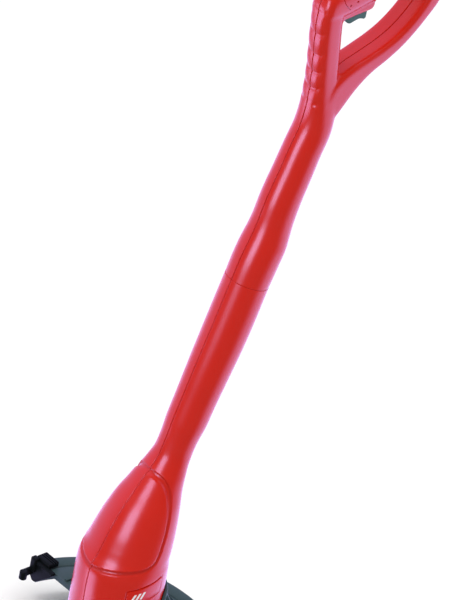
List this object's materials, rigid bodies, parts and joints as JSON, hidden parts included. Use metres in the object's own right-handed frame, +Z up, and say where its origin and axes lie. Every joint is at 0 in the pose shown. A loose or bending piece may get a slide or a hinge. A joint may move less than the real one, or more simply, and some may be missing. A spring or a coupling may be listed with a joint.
{
  "type": "string trimmer",
  "caption": "Compact mains string trimmer: slender leaning shaft with a looped grip and trigger, motor housing, spinning line head with bump knob, and a guard with a line cutter.",
  "frame": {"origin": "on the flat foot of the bump knob, on the motor's axis", "axes": "+Z up along the motor's axis, -Y to the front, +Y towards the user, +X to the user's left as they hold it, facing -Y"},
  "size_m": [0.2701, 0.3891, 0.849],
  "materials": {
    "red_plastic": "glossy moulded",
    "dark_plastic": "satin moulded",
    "black_plastic": "satin moulded",
    "grey_plastic": "satin moulded",
    "steel": "bright",
    "brass": "plain",
    "copper": "enamelled copper",
    "laminations": "stacked sheets",
    "carbon": "pressed carbon",
    "rubber": "matt",
    "nylon_line": "extruded nylon",
    "label": "printed film",
    "capacitor": "moulded"
  },
  "bodies": {
    "casing": {"motor_shell_left": "red_plastic", "motor_shell_right": "red_plastic", "handle_shell_left": "red_plastic", "handle_shell_right": "red_plastic", "cord_gland": "rubber", "cord_clamp": "black_plastic", "cord_clamp_screw_left": "steel", "cord_clamp_screw_right": "steel", "switch_body": "black_plastic", "suppression_capacitor": "capacitor", "inner_lead": "black_plastic", "stator_core": "laminations", "field_coil_front": "copper", "field_coil_rear": "copper", "lower_bearing": "steel", "upper_bearing": "steel", "lower_bracket": "black_plastic", "upper_bracket": "black_plastic", "brush_holder_left": "brass", "brush_holder_right": "brass", "carbon_brush_left": "carbon", "carbon_brush_right": "carbon", "base_plate": "black_plastic", "guard": "dark_plastic", "guard_screw_1": "steel", "guard_screw_2": "steel", "guard_screw_3": "steel", "blade_carrier": "black_plastic", "line_cutter": "steel", "cutter_screw": "steel", "side_label": "label", "trigger_pin": "steel", "motor_shell_screw_1": "steel", "motor_shell_screw_2": "steel", "motor_shell_screw_3": "steel", "motor_shell_screw_4": "steel", "motor_shell_screw_5": "steel", "handle_shell_screw_1": "steel", "handle_shell_screw_2": "steel", "handle_shell_screw_3": "steel", "handle_shell_screw_4": "steel", "handle_shell_screw_5": "steel"},
    "trigger": {"trigger": "grey_plastic"},
    "switch_plunger": {"switch_plunger": "grey_plastic", "trigger_spring": "steel"},
    "rotor": {"motor_shaft": "steel", "armature": "laminations", "commutator": "copper", "cooling_fan": "black_plastic", "spool_hub": "dark_plastic", "spool_cap": "black_plastic", "line_eyelet_a": "brass", "line_eyelet_b": "brass", "line_end_a": "nylon_line", "line_end_b": "nylon_line"},
    "bump_knob": {"bump_knob": "grey_plastic", "bump_spring": "steel"},
    "spool": {"line_spool": "grey_plastic", "line_winding": "nylon_line"}
  },
  "joints": [
    {"name": "trigger_hinge", "type": "hinge", "parent": "casing", "child": "trigger", "pos_m": [0, 0.172, 0.797], "axis": [1, 0, 0], "range_deg": [0, 9], "stiffness_Nm_per_rad": 0.4, "springref_deg": -8.59},
    {"name": "plunger_slide", "type": "slide", "parent": "casing", "child": "switch_plunger", "axis": [0, 0, 1], "range_m": [0, 0.0042], "deforming": ["trigger_spring"]},
    {"name": "rotor_spin", "type": "hinge", "parent": "casing", "child": "rotor", "pos_m": [0, 0, 0.1], "axis": [0, 0, 1], "continuous": true},
    {"name": "bump_slide", "type": "slide", "parent": "rotor", "child": "bump_knob", "axis": [0, 0, 1], "range_m": [0, 0.005], "stiffness_N_per_m": 500, "springref_m": -0.01, "deforming": ["bump_spring"]},
    {"name": "spool_turn", "type": "hinge", "parent": "bump_knob", "child": "spool", "pos_m": [0, 0, 0.02], "axis": [0, 0, 1], "continuous": true}
  ],
  "couplings": [
    {"joint": "plunger_slide", "follows": "trigger_hinge", "m_per_rad": 0.026}
  ]
}
